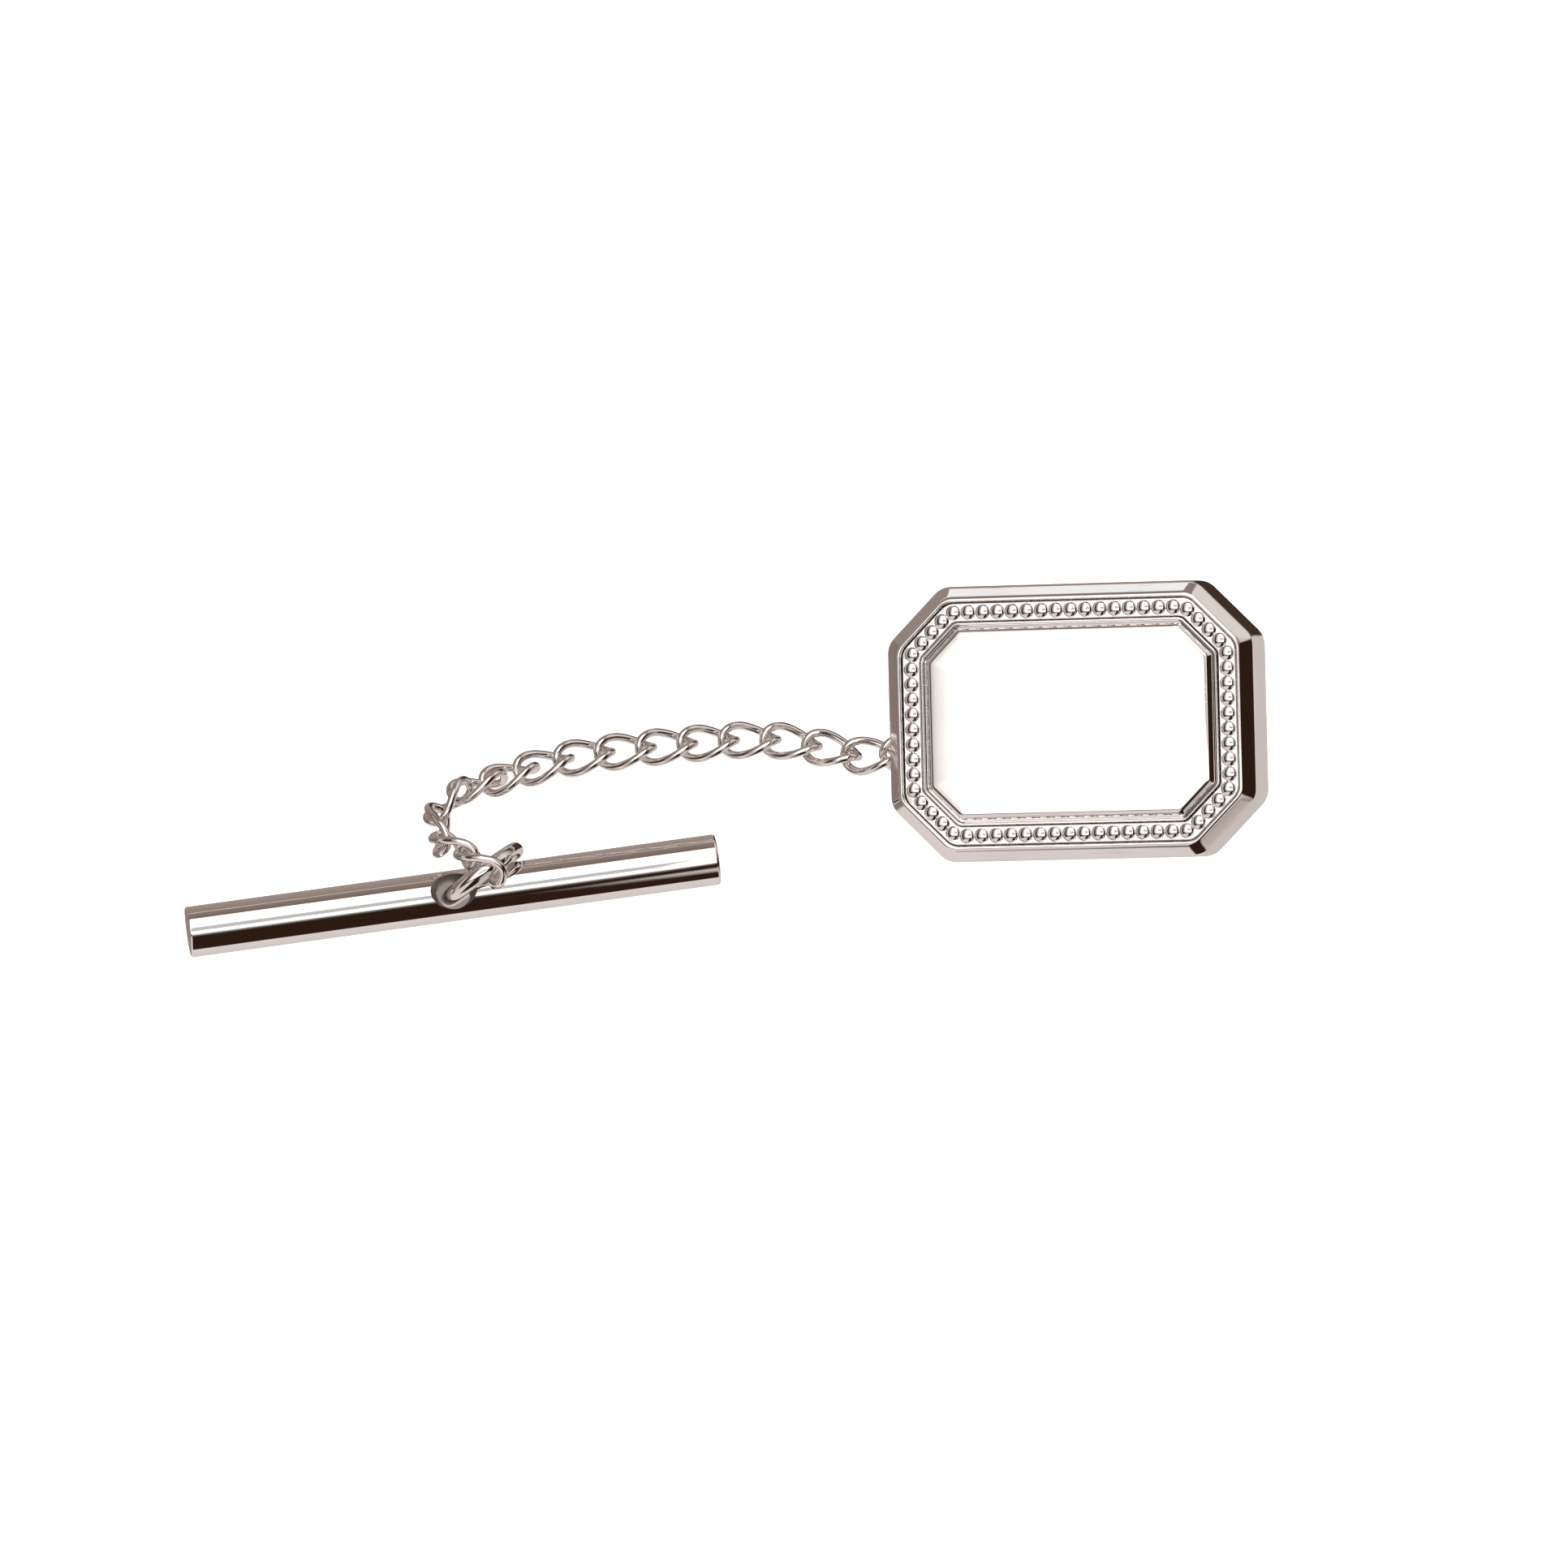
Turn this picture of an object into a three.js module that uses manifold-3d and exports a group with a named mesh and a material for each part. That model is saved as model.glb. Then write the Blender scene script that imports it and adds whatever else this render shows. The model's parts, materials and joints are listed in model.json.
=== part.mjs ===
// A tie tack: a plated face on a pin, its pinch clutch, and a curb chain to a T-bar.
//
// Millimetres, +Z up. The tack lies on a table at z = 0 with its face up: the pin's tip and
// one wing of the clutch carry the face, and the chain runs across the table to the bar.

import * as THREE from 'three';
import { mergeVertices } from 'three/addons/utils/BufferGeometryUtils.js';
import Module from 'manifold-3d';

const wasm = await Module();
wasm.setup();

const DEG = Math.PI / 180;
const GAP = 0.02; // between pieces that are soldered or pressed together

// Face: a rectangle with its four corners cut at 45 degrees.
const FACE_LENGTH = 14.62;
const FACE_WIDTH = 10.7;
const FACE_CUT = 2.2;
const CORNER_RADIUS = 0.9;
const CORNER_SHARPENING = 0.35; // how much smaller the corners get for each mm inward
const CORNER_STEPS = 3;
const FACE_PLACE = new THREE.Vector2(13.86, 1.86);
const FACE_TURN = 1.4 * DEG;
const FACE_LEAN = 15 * DEG;

// The frame's section from its wall inward: inset from the outline, height above the back.
const BEVEL = [[0, 1.86], [0.05, 1.98], [0.42, 2.34], [0.5, 2.4]];
const CREST_INSET = 0.6;
const CHANNEL_INSET = [0.66, 1.37];
const CHANNEL_FLOOR = 2.12;
const RAIL_INSET = [1.42, 1.48];
const RAIL_TOP = 2.3;
const PANEL_SEAT_INSET = 1.52;
const PANEL_SEAT = 1.2;
const LEDGE_INSET = 2.4;
const BACK_RECESS = 0.6;
const BACK_INSET = 0.7;

// The panel stands a little proud of the frame.
const PANEL_FOOT = 2.2;
const PANEL_BEVEL = [0.22, 2.45];
const PANEL_SLOPE = 1.45; // how far in the panel keeps rising
const PANEL_CROWN = 2.49;

// Beads: domes on a flat strip that fills the channel.
const STRIP_THICKNESS = 0.1;
const BEAD_RADIUS = 0.3;
const BEAD_RISE = 0.13;
const BEAD_PITCH = 0.585;

// Pin, pointing out of the back of the face.
const PAD_RADIUS = 2.2;
const PAD_THICKNESS = 0.5;
const PIN_RADIUS = 0.55;
const PIN_LENGTH = 7.4; // from the back of the face to the tip
const PIN_GROOVE = [3.3, 3.9];
const PIN_GROOVE_RADIUS = 0.47;
const PIN_TAPER = 2.0;
const PIN_TIP_RADIUS = 0.06;

// Clutch, measured down the pin from the back of the face.
const CLUTCH_TOP = 1.9;
const FLANGE_RADIUS = 3.5;
const FLANGE_THICKNESS = 0.5;
const CLUTCH_BORE = 0.65;
const BOSS_RADIUS = 1.15;
const BOSS_DEPTH = 0.9;
const TAB_REACH = 4.2;
const TAB_RADIUS = 0.95;
const TAB_HOLE = 0.55;
const CAGE_HALF_LENGTH = 1.9;
const CAGE_CHEEK = [1.3, 1.6];
const CAGE_DEPTH = 5.0;
const CAGE_FLOOR = 0.25;
const CAGE_FLOOR_HALF_LENGTH = 1.1;
const CAGE_HOLE = 0.75;
const WING_THICKNESS = 0.34;
const WING_NECK_WIDTH = 2.3;
const WING_WIDTH = 4.2;
const WING_NECK = [[0.86, -3.72], [1.4, -4.25], [2.2, -4.5], [3.0, -5.1]];
const WING_CURL = [[2.75, -4.9], [3.4, -5.55], [4.2, -5.99], [4.93, -5.62], [4.85, -4.92], [4.2, -4.8]];

// Curb chain: every link is an oval of wire, twisted about its long axis.
const LINK_WIRE = 0.34;
const LINK_HALF_LENGTH = 1.1; // to the middle of the wire
const LINK_HALF_WIDTH = 0.66;
const LINK_ROUNDNESS = 2.4;
const LINK_TWIST = -48 * DEG;
const LINK_STEPS = 24;
const LINK_SIDES = 6;
const DRAWN_PITCH = 1.67; // where the chain lies drawn out along the table
const BUNCHED_PITCH = 1.36; // where it drops from the bar's ring
const BUNCHED_LENGTH = 8.2;
// The chain's route through the links' middles, from the clutch's ring to the bar's ring:
// x, y, z, and how far a link there is rolled about the chain, in degrees.
const CHAIN_ROUTE = [
  [8.55, 1.26, 2.6, 0],
  [7.3, 0.75, 2.05, -20],
  [6.0, 0.5, 1.6, -30],
  [4.7, 0.62, 1.15, -38],
  [3.2, 0.95, 0.8, -40],
  [1.4, 1.15, 0.73, -40],
  [-2.0, 0.95, 0.73, -40],
  [-5.7, 0.5, 0.73, -40],
  [-7.2, 0.17, 0.78, -48],
  [-8.7, -0.3, 0.85, -60],
  [-10.3, -0.85, 1.05, -85],
  [-11.2, -1.7, 1.45, -100],
  [-11.2, -2.6, 2.1, -90],
  [-10.56, -3.1, 2.77, -80],
  [-9.6, -3.7, 3.3, -80],
];

// Rings at the chain's two ends.
const CLUTCH_RING_WIRE = 0.4;
const CLUTCH_RING_RADIUS = 0.95;
const CLUTCH_RING_PLACE = [9.74, 1.61, 3.34];
const BAR_RING_WIRE = 0.7;
const BAR_RING_RADIUS = 1.58;
const BAR_RING_HEADING = 36 * DEG;
const BAR_RING_LEAN = 2 * DEG;
const BAR_RING_REACH = 1.42; // from the bar's cross hole to the ring's middle

// T-bar: one end on the table, the middle lifted by the ring that stands under it.
const BAR_LENGTH = 21.0;
const BAR_RADIUS = 1.0;
const BAR_END_ROUND = 0.12;
const BAR_HOLE_RADIUS = 0.68;
const BAR_SINK_RADIUS = 0.92;
const BAR_SINK_DEPTH = 0.35;
const BAR_PLACE = new THREE.Vector2(-10.75, -4.95);
const BAR_HEADING = 7.84 * DEG;
const BAR_TILT = 5.4 * DEG;
const BAR_ROLL = 14 * DEG; // which way its cross hole faces, from straight up

const SILVER = 0xe3dedb;
const STEEL = 0xc9c6c2;

// ---------------------------------------------------------------- helpers

function metal(color, roughness) {
  return new THREE.MeshStandardMaterial({ color, roughness, metalness: 1 });
}

function piece(name, geometry, color = SILVER, roughness = 0.12) {
  const mesh = new THREE.Mesh(geometry, metal(color, roughness));
  mesh.name = name;
  return mesh;
}

function welded(geometry) {
  const bare = geometry.clone();
  bare.deleteAttribute('normal');
  bare.deleteAttribute('uv');
  return mergeVertices(bare, 1e-5);
}

function solid(geometry) {
  const mesh = welded(geometry);
  const vertProperties = new Float32Array(mesh.attributes.position.array);
  const triVerts = new Uint32Array(mesh.index.array);
  return new wasm.Manifold(new wasm.Mesh({ numProp: 3, vertProperties, triVerts }));
}

function geometryOf(manifold) {
  const mesh = manifold.getMesh();
  const geometry = new THREE.BufferGeometry();
  geometry.setAttribute('position', new THREE.BufferAttribute(mesh.vertProperties, 3));
  geometry.setIndex(new THREE.BufferAttribute(mesh.triVerts, 1));
  geometry.computeVertexNormals();
  return geometry;
}

function box(x, y, z) {
  const geometry = new THREE.BoxGeometry(x[1] - x[0], y[1] - y[0], z[1] - z[0]);
  return geometry.translate((x[0] + x[1]) / 2, (y[0] + y[1]) / 2, (z[0] + z[1]) / 2);
}

// A solid turned about Z from [radius, z] pairs; the profile closes on the axis or on itself.
function turned(profile, segments) {
  const points = profile.map(([radius, z]) => new THREE.Vector2(radius, z));
  return new THREE.LatheGeometry(points, segments).rotateX(Math.PI / 2);
}

// ---------------------------------------------------------------- face outline

// Corner of the cut rectangle moved inward by inset; corner 0 is right of the top right cut.
function outlineCorner(inset, corner) {
  const long = FACE_LENGTH / 2 - inset;
  const short = FACE_WIDTH / 2 - inset;
  const cut = FACE_CUT - (2 - Math.SQRT2) * inset;
  const quadrant = Math.floor(corner / 2);
  const signX = quadrant === 0 || quadrant === 3 ? 1 : -1;
  const signY = quadrant < 2 ? 1 : -1;
  const onLongEnd = corner % 4 === 0 || corner % 4 === 3;
  const x = onLongEnd ? long : long - cut;
  const y = onLongEnd ? short - cut : short;
  return new THREE.Vector2(signX * x, signY * y);
}

// The outline at one inset, each of its eight corners rounded by an arc.
function outline(inset) {
  const radius = Math.max(CORNER_RADIUS - inset * CORNER_SHARPENING, 0.2);
  const points = [];
  for (let corner = 0; corner < 8; corner += 1) {
    const middle = outlineCorner(inset + radius, corner);
    for (let step = 0; step <= CORNER_STEPS; step += 1) {
      const angle = (corner + step / CORNER_STEPS) * 45 * DEG;
      points.push(new THREE.Vector2(
        middle.x + radius * Math.cos(angle),
        middle.y + radius * Math.sin(angle),
      ));
    }
  }
  return points;
}

// Stacks the outline at [inset, z] levels. A closed stack is a frame whose last level joins
// the first; an open one is a plate, capped on its first and last level.
function stacked(levels, closed) {
  const rings = levels.map(([inset]) => outline(inset));
  const count = rings[0].length;
  const positions = [];
  rings.forEach((ring, level) => {
    ring.forEach((point) => positions.push(point.x, point.y, levels[level][1]));
  });
  const index = [];
  const joins = closed ? levels.length : levels.length - 1;
  for (let level = 0; level < joins; level += 1) {
    const above = ((level + 1) % levels.length) * count;
    for (let i = 0; i < count; i += 1) {
      const next = (i + 1) % count;
      const [a, b] = [level * count + i, level * count + next];
      const [c, d] = [above + i, above + next];
      index.push(a, b, d, a, d, c);
    }
  }
  if (!closed) {
    const last = (levels.length - 1) * count;
    const bottom = levels.length * count;
    positions.push(0, 0, levels[0][1], 0, 0, levels[levels.length - 1][1]);
    for (let i = 0; i < count; i += 1) {
      const next = (i + 1) % count;
      index.push(bottom, next, i, bottom + 1, last + i, last + next);
    }
  }
  const geometry = new THREE.BufferGeometry();
  geometry.setAttribute('position', new THREE.Float32BufferAttribute(positions, 3));
  geometry.setIndex(index);
  geometry.computeVertexNormals();
  return geometry;
}

// ---------------------------------------------------------------- face pieces

function faceFrame() {
  const crest = BEVEL[BEVEL.length - 1][1];
  return stacked([
    [0.05, 0],
    [0, 0.05],
    ...BEVEL,
    [CREST_INSET, crest],
    [CHANNEL_INSET[0], CHANNEL_FLOOR],
    [CHANNEL_INSET[1], CHANNEL_FLOOR],
    [RAIL_INSET[0], RAIL_TOP],
    [RAIL_INSET[1], RAIL_TOP],
    [PANEL_SEAT_INSET, PANEL_FOOT],
    [PANEL_SEAT_INSET, PANEL_SEAT],
    [LEDGE_INSET, PANEL_SEAT],
    [LEDGE_INSET, BACK_RECESS],
    [BACK_INSET, BACK_RECESS],
    [BACK_INSET, 0],
  ], true);
}

function facePanel() {
  const edge = PANEL_SEAT_INSET + GAP;
  const [bevel, shoulder] = PANEL_BEVEL;
  const rise = PANEL_CROWN - shoulder;
  return stacked([
    [edge, PANEL_SEAT + GAP],
    [edge, PANEL_FOOT],
    [edge + bevel, shoulder],
    [edge + bevel + PANEL_SLOPE / 3, shoulder + 0.55 * rise],
    [edge + bevel + PANEL_SLOPE, PANEL_CROWN],
  ], false);
}

function backPlate() {
  return stacked([
    [BACK_INSET + GAP, 0],
    [BACK_INSET + GAP, BACK_RECESS - GAP],
  ], false);
}

// A strip that fills the channel, with domed beads evenly spaced round its middle.
function beadBorder() {
  const inset = (CHANNEL_INSET[0] + CHANNEL_INSET[1]) / 2;
  const half = (CHANNEL_INSET[1] - CHANNEL_INSET[0]) / 2 - GAP;
  const bottom = CHANNEL_FLOOR + GAP;
  const top = bottom + STRIP_THICKNESS;
  const track = new THREE.CurvePath();
  const corners = outline(inset).map((point) => new THREE.Vector3(point.x, point.y, top));
  corners.forEach((point, i) => {
    track.add(new THREE.LineCurve3(point, corners[(i + 1) % corners.length]));
  });
  let border = solid(stacked([
    [inset - half, bottom],
    [inset - half, top],
    [inset + half, top],
    [inset + half, bottom],
  ], true));
  const dome = solid(turned([
    [0, -STRIP_THICKNESS / 2],
    [BEAD_RADIUS, -STRIP_THICKNESS / 2],
    [BEAD_RADIUS, 0],
    [BEAD_RADIUS * Math.sin(60 * DEG), BEAD_RISE * Math.cos(60 * DEG)],
    [BEAD_RADIUS * Math.sin(30 * DEG), BEAD_RISE * Math.cos(30 * DEG)],
    [0, BEAD_RISE],
  ], 10));
  const count = Math.round(track.getLength() / BEAD_PITCH);
  for (let bead = 0; bead < count; bead += 1) {
    const middle = track.getPointAt(bead / count);
    border = border.add(dome.translate(middle.x, middle.y, middle.z));
  }
  return geometryOf(border);
}

function pinPad() {
  const radius = PAD_RADIUS;
  return turned([
    [0, -PAD_THICKNESS],
    [radius - 0.1, -PAD_THICKNESS],
    [radius, -PAD_THICKNESS + 0.1],
    [radius, -GAP],
    [0, -GAP],
  ], 32);
}

function pinPost() {
  const top = -PAD_THICKNESS - GAP;
  const lip = PIN_RADIUS - PIN_GROOVE_RADIUS;
  return turned([
    [0, -PIN_LENGTH],
    [PIN_TIP_RADIUS, -PIN_LENGTH + PIN_TIP_RADIUS],
    [PIN_RADIUS, -PIN_LENGTH + PIN_TAPER],
    [PIN_RADIUS, -PIN_GROOVE[1] - lip],
    [PIN_GROOVE_RADIUS, -PIN_GROOVE[1]],
    [PIN_GROOVE_RADIUS, -PIN_GROOVE[0]],
    [PIN_RADIUS, -PIN_GROOVE[0] + lip],
    [PIN_RADIUS, top],
    [0, top],
  ], 20);
}

// ---------------------------------------------------------------- clutch pieces

function clutchBase() {
  const bottom = -CLUTCH_TOP - FLANGE_THICKNESS;
  const flange = solid(turned([
    [CLUTCH_BORE, -CLUTCH_TOP],
    [CLUTCH_BORE, bottom - BOSS_DEPTH],
    [BOSS_RADIUS, bottom - BOSS_DEPTH],
    [BOSS_RADIUS, bottom],
    [FLANGE_RADIUS - 0.12, bottom],
    [FLANGE_RADIUS, bottom + 0.12],
    [FLANGE_RADIUS, -CLUTCH_TOP - 0.12],
    [FLANGE_RADIUS - 0.12, -CLUTCH_TOP],
    [CLUTCH_BORE, -CLUTCH_TOP],
  ], 32));
  const shape = new THREE.Shape();
  shape.moveTo(-2.5, -TAB_RADIUS);
  shape.lineTo(-2.5, TAB_RADIUS);
  shape.lineTo(-TAB_REACH, TAB_RADIUS);
  shape.absarc(-TAB_REACH, 0, TAB_RADIUS, 90 * DEG, 270 * DEG);
  shape.holes.push(new THREE.Path().absarc(-TAB_REACH, 0, TAB_HOLE, 0, 2 * Math.PI));
  const tab = new THREE.ExtrudeGeometry(shape, {
    depth: FLANGE_THICKNESS,
    bevelEnabled: false,
    curveSegments: 8,
  });
  return geometryOf(flange.add(solid(tab.translate(0, 0, bottom))));
}

function clutchCage() {
  const top = -CLUTCH_TOP - FLANGE_THICKNESS - GAP;
  const length = [-CAGE_HALF_LENGTH, CAGE_HALF_LENGTH];
  const near = box(length, CAGE_CHEEK, [-CAGE_DEPTH, top]);
  const far = box(length, [-CAGE_CHEEK[1], -CAGE_CHEEK[0]], [-CAGE_DEPTH, top]);
  const floor = box(
    [-CAGE_FLOOR_HALF_LENGTH, CAGE_FLOOR_HALF_LENGTH],
    [-CAGE_CHEEK[1], CAGE_CHEEK[1]],
    [-CAGE_DEPTH, -CAGE_DEPTH + CAGE_FLOOR],
  );
  const hole = new THREE.CylinderGeometry(CAGE_HOLE, CAGE_HOLE, 2, 24).rotateX(Math.PI / 2);
  return geometryOf(solid(near).add(solid(far)).add(solid(floor))
    .subtract(solid(hole.translate(0, 0, -CAGE_DEPTH))));
}

// A strip of even thickness along a smooth line through [x, z] points, width wide along Y.
function bentStrip(points, width) {
  const spine = new THREE.SplineCurve(points.map(([x, z]) => new THREE.Vector2(x, z)));
  const steps = (points.length - 1) * 3;
  const left = [];
  const right = [];
  for (let step = 0; step <= steps; step += 1) {
    const middle = spine.getPoint(step / steps);
    const along = spine.getTangent(step / steps);
    const side = new THREE.Vector2(-along.y, along.x).multiplyScalar(WING_THICKNESS / 2);
    left.push(middle.clone().add(side));
    right.unshift(middle.clone().sub(side));
  }
  const strip = new THREE.ExtrudeGeometry(new THREE.Shape([...left, ...right]), {
    depth: width,
    bevelEnabled: false,
  });
  return strip.translate(0, 0, -width / 2).rotateX(Math.PI / 2);
}

function clutchWing() {
  const neck = solid(bentStrip(WING_NECK, WING_NECK_WIDTH));
  const curl = solid(bentStrip(WING_CURL, WING_WIDTH));
  return geometryOf(neck.add(curl));
}

// ---------------------------------------------------------------- chain, rings and bar

class CurbLinkCurve extends THREE.Curve {
  getPoint(t, target = new THREE.Vector3()) {
    const power = 2 / LINK_ROUNDNESS;
    const cosine = Math.cos(2 * Math.PI * t);
    const sine = Math.sin(2 * Math.PI * t);
    const x = LINK_HALF_LENGTH * Math.sign(cosine) * Math.abs(cosine) ** power;
    const y = LINK_HALF_WIDTH * Math.sign(sine) * Math.abs(sine) ** power;
    const twist = LINK_TWIST * (x / LINK_HALF_LENGTH);
    return target.set(x, y * Math.cos(twist), y * Math.sin(twist));
  }
}

// A closed loop of wire, so the tube has no ends.
function curbLink() {
  const curve = new CurbLinkCurve();
  return welded(new THREE.TubeGeometry(curve, LINK_STEPS, LINK_WIRE / 2, LINK_SIDES, true));
}

function wireRing(radius, wire, sides, steps) {
  return welded(new THREE.TorusGeometry(radius, wire / 2, sides, steps));
}

// Turns a piece so that its X runs along a direction, kept level across, then rolled about it.
function aimed(mesh, place, along, roll = 0) {
  const x = along.clone().normalize();
  const y = new THREE.Vector3(0, 0, 1).cross(x).normalize();
  const z = x.clone().cross(y);
  mesh.quaternion.setFromRotationMatrix(new THREE.Matrix4().makeBasis(x, y, z));
  mesh.rotateX(roll);
  mesh.position.copy(place);
  return mesh;
}

// The links' places along the route: drawn out at first, then bunched near the bar's ring.
function chainStations(length) {
  const stations = [0];
  let pitch = DRAWN_PITCH;
  let reached = pitch;
  while (reached < length + pitch / 2) {
    stations.push(reached);
    const left = length - reached;
    const drawn = THREE.MathUtils.smoothstep(left, BUNCHED_LENGTH - 1.5, BUNCHED_LENGTH + 1.5);
    pitch = THREE.MathUtils.lerp(BUNCHED_PITCH, DRAWN_PITCH, drawn);
    reached += pitch;
  }
  const last = stations[stations.length - 1];
  return stations.map((station) => station / last);
}

// The roll, in radians, at a share of the route's points.
function chainRoll(share) {
  const place = share * (CHAIN_ROUTE.length - 1);
  const before = Math.min(Math.floor(place), CHAIN_ROUTE.length - 2);
  const [from, to] = [CHAIN_ROUTE[before][3], CHAIN_ROUTE[before + 1][3]];
  return THREE.MathUtils.lerp(from, to, place - before) * DEG;
}

function chain() {
  const points = CHAIN_ROUTE.map(([x, y, z]) => new THREE.Vector3(x, y, z));
  const route = new THREE.CatmullRomCurve3(points);
  return chainStations(route.getLength()).map((station, i) => {
    const link = piece(`chain_link_${String(i + 1).padStart(2, '0')}`, curbLink());
    const share = route.getUtoTmapping(station);
    const along = route.getTangent(share).negate();
    return aimed(link, route.getPoint(share), along, chainRoll(share));
  });
}

function clutchRing() {
  const ring = wireRing(CLUTCH_RING_RADIUS, CLUTCH_RING_WIRE, 6, 20).rotateX(Math.PI / 2);
  const along = new THREE.Vector3(1, 0.25, 0.8);
  return aimed(piece('clutch_ring', ring), new THREE.Vector3(...CLUTCH_RING_PLACE), along);
}

// Height of the bar's axis above its own middle hole, with its lower end on the table.
function barHeight() {
  return (BAR_LENGTH / 2) * Math.sin(BAR_TILT) + BAR_RADIUS * Math.cos(BAR_TILT);
}

function barRing() {
  const height = BAR_RING_RADIUS * Math.cos(BAR_RING_LEAN) + BAR_RING_WIRE / 2;
  const ring = wireRing(BAR_RING_RADIUS, BAR_RING_WIRE, 10, 32).rotateX(Math.PI / 2);
  const heading = new THREE.Vector3(Math.cos(BAR_RING_HEADING), Math.sin(BAR_RING_HEADING), 0);
  const place = heading.clone().multiplyScalar(BAR_RING_REACH);
  place.add(new THREE.Vector3(BAR_PLACE.x, BAR_PLACE.y, height));
  return aimed(piece('bar_ring', ring), place, heading, -BAR_RING_LEAN);
}

function tBar() {
  const half = BAR_LENGTH / 2;
  const rod = turned([
    [0, -half],
    [BAR_RADIUS - BAR_END_ROUND, -half],
    [BAR_RADIUS, -half + BAR_END_ROUND],
    [BAR_RADIUS, half - BAR_END_ROUND],
    [BAR_RADIUS - BAR_END_ROUND, half],
    [0, half],
  ], 32).rotateY(Math.PI / 2);
  const sink = BAR_RADIUS - BAR_SINK_DEPTH;
  const drill = turned([
    [0, -BAR_RADIUS],
    [BAR_SINK_RADIUS, -BAR_RADIUS],
    [BAR_HOLE_RADIUS, -sink],
    [BAR_HOLE_RADIUS, sink],
    [BAR_SINK_RADIUS, BAR_RADIUS],
    [0, BAR_RADIUS],
  ], 24);
  const bar = piece('t_bar', geometryOf(solid(rod).subtract(solid(drill))));
  const along = new THREE.Vector3(
    Math.cos(BAR_HEADING) * Math.cos(BAR_TILT),
    Math.sin(BAR_HEADING) * Math.cos(BAR_TILT),
    -Math.sin(BAR_TILT),
  );
  return aimed(bar, new THREE.Vector3(BAR_PLACE.x, BAR_PLACE.y, barHeight()), along, -BAR_ROLL);
}

// ---------------------------------------------------------------- assembly

// The face and its clutch share a frame: X along the face, Z out of its front.
function tack() {
  const group = new THREE.Group();
  group.position.set(FACE_PLACE.x, FACE_PLACE.y, PIN_LENGTH * Math.cos(FACE_LEAN));
  group.rotation.set(0, -FACE_LEAN, FACE_TURN, 'ZYX');
  const left = piece('clutch_wing_left', clutchWing(), STEEL, 0.25);
  left.rotation.z = Math.PI;
  group.add(
    piece('face_frame', faceFrame()),
    piece('bead_border', beadBorder()),
    piece('face_panel', facePanel(), SILVER, 0.06),
    piece('back_plate', backPlate()),
    piece('pin_pad', pinPad()),
    piece('pin_post', pinPost(), STEEL, 0.2),
    piece('clutch_base', clutchBase()),
    piece('clutch_cage', clutchCage(), STEEL, 0.25),
    piece('clutch_wing_right', clutchWing(), STEEL, 0.25),
    left,
  );
  return group;
}

const tieTack = new THREE.Group();
tieTack.add(tack(), clutchRing(), ...chain(), barRing(), tBar());

export default tieTack;
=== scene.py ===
"""Looks of the tie tack: fine meshes, plated-metal materials, studio and camera."""

import json
import math

import bpy
import numpy as np
from mathutils import Matrix, Vector


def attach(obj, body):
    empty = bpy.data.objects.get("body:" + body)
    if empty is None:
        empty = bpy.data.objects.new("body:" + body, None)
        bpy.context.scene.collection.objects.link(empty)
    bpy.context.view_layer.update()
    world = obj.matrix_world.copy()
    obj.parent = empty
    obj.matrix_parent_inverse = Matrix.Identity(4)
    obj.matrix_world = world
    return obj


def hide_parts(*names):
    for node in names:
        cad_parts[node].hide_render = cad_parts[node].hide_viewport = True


MM = 0.001
STEEL_SLOT = "bright_steel"
PLATE_SLOT = "silver_plate"

# Face, in millimetres, as in the CAD part.
FACE_LENGTH = 14.62
FACE_WIDTH = 10.7
FACE_CUT = 2.2
CORNER_RADIUS = 0.9
CORNER_SHARPENING = 0.35
CORNER_STEPS = 12
BEVEL = ((0, 1.86, 0.05), (0.05, 1.98, 0.1), (0.42, 2.34, 0.05), (0.5, 2.4, 0.05))
CREST_INSET = 0.6
CHANNEL_INSET = (0.66, 1.37)
CHANNEL_FLOOR = 2.12
RAIL_INSET = (1.42, 1.48)
RAIL_TOP = 2.3
PANEL_INSET = 1.52
PANEL_SEAT = 1.2
PANEL_FOOT = 2.2
PANEL_BEVEL = (0.22, 2.45)
PANEL_SHOULDER = 0.14
PANEL_SLOPE = 1.45  # how far in the panel keeps rising
PANEL_CURVE = 1.9
PANEL_STEPS = 16
PANEL_SKIPPED = 3  # steps of the rise that the shoulder's fillet takes the place of
PANEL_CROWN = 2.49
LEDGE_INSET = 2.4
BACK_RECESS = 0.6
BACK_INSET = 0.7
BACK_EASE = 0.06
GAP = 0.02
STRIP_THICKNESS = 0.1
BEAD_RADIUS = 0.3
BEAD_RISE = 0.13
BEAD_PITCH = 0.585

# Where the record's mount on the face stands, from the middle of the face's back.
FACE_MOUNT = (1.0, 0.4, PANEL_CROWN)

# Pin and clutch, measured down the pin from the back of the face.
PAD_RADIUS = 2.2
PAD_THICKNESS = 0.5
PIN_RADIUS = 0.55
PIN_LENGTH = 7.4
PIN_GROOVE = (3.3, 3.9)
PIN_GROOVE_RADIUS = 0.47
PIN_TAPER = 2.0
PIN_TIP_RADIUS = 0.06
CLUTCH_TOP = 1.9
FLANGE_RADIUS = 3.5
FLANGE_THICKNESS = 0.5
FLANGE_BOTTOM = -CLUTCH_TOP - FLANGE_THICKNESS
CLUTCH_BORE = 0.65
BOSS_RADIUS = 1.15
BOSS_DEPTH = 0.9
TAB_ROOT = 2.5
TAB_REACH = 4.2
TAB_RADIUS = 0.95
TAB_HOLE = 0.55
TAB_CHAMFER = (0.1, 0.08)  # how wide and how deep
TAB_OVERCUT = 0.3
TAB_SHY = 0.005  # how far the tab's faces stay inside the flange's
TAB_STEPS = 24
CAGE_EASE = 0.05
WING_THICKNESS = 0.34
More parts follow.
